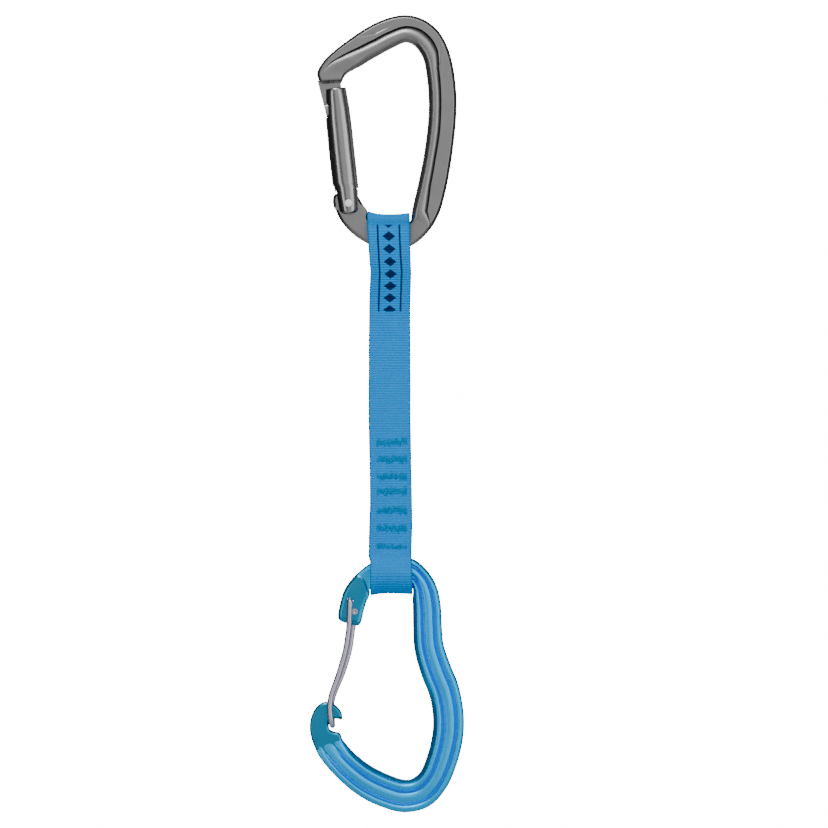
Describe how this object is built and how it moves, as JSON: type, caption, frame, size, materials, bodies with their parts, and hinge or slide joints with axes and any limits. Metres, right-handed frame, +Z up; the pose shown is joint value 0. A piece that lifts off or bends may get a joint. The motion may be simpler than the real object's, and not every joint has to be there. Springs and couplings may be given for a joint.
{
  "type": "climbing quickdraw",
  "caption": "Sport climbing quickdraw: a solid-gate carabiner and a wire-gate carabiner joined by a flat sewn webbing sling.",
  "frame": {"origin": "top inside point of the upper carabiner, on its mid-plane, where a bolt hanger carries the whole object", "axes": "+Z up along the hanging object; the carabiners lie in the XZ plane with both gates on the -X side; +Y points away from the front view"},
  "size_m": [0.0649, 0.0186, 0.3345],
  "materials": {
    "grey_anodised": "satin anodised",
    "blue_anodised": "satin anodised",
    "rivet_steel": "bright",
    "gate_wire": "bright drawn",
    "blue_webbing": "flat woven nylon",
    "thread": "dense zigzag stitching"
  },
  "bodies": {
    "upper_carabiner": {"upper_frame": "grey_anodised"},
    "solid_gate": {"upper_gate": "grey_anodised", "upper_gate_rivet": "rivet_steel", "upper_gate_spring": "rivet_steel"},
    "gate_plunger": {"upper_gate_plunger": "rivet_steel"},
    "sling_loop": {"sling_top_loop": "blue_webbing"},
    "sling_middle": {"sling_neck": "blue_webbing"},
    "sling_stitched": {"sling_sewn": "blue_webbing", "bar_tack_1": "thread", "bar_tack_2": "thread", "bar_tack_3": "thread", "bar_tack_4": "thread", "bar_tack_5": "thread", "bar_tack_6": "thread", "bar_tack_7": "thread"},
    "lower_carabiner": {"lower_frame": "blue_anodised"},
    "wire_gate": {"lower_wire_gate": "gate_wire"}
  },
  "joints": [
    {"name": "upper_gate_hinge", "type": "hinge", "parent": "upper_carabiner", "child": "solid_gate", "pos_m": [-0.02465, 0, -0.0677], "axis": [0, 1, 0], "range_deg": [0, 32], "stiffness_Nm_per_rad": 0.3, "springref_deg": -34.38},
    {"name": "gate_plunger_slide", "type": "slide", "parent": "solid_gate", "child": "gate_plunger", "axis": [-0.0975, 0, 0.9952], "range_m": [0, 0.0018], "deforming": ["upper_gate_spring"]},
    {"name": "sling_swing", "type": "hinge", "parent": "upper_carabiner", "child": "sling_loop", "pos_m": [-0.00735, 0, -0.08115], "axis": [1, 0, 0], "range_deg": [-90, 90]},
    {"name": "sling_bend", "type": "hinge", "parent": "sling_loop", "child": "sling_middle", "pos_m": [-0.00735, 0, -0.126], "axis": [1, 0, 0], "range_deg": [-75, 75]},
    {"name": "sling_twist", "type": "hinge", "parent": "sling_middle", "child": "sling_stitched", "pos_m": [-0.00735, 0, -0.15], "axis": [0, 0, 1], "range_deg": [-90, 90], "stiffness_Nm_per_rad": 0.01},
    {"name": "lower_swing", "type": "hinge", "parent": "sling_stitched", "child": "lower_carabiner", "pos_m": [-0.0069, 0, -0.2222], "axis": [1, 0, 0], "range_deg": [-45, 45]},
    {"name": "wire_gate_hinge", "type": "hinge", "parent": "lower_carabiner", "child": "wire_gate", "pos_m": [-0.0231, 0, -0.2365], "axis": [0, -1, 0], "range_deg": [0, 32], "stiffness_Nm_per_rad": 0.25, "springref_deg": -34.38}
  ],
  "couplings": [
    {"joint": "gate_plunger_slide", "follows": "upper_gate_hinge", "m_per_rad": 0.003}
  ]
}
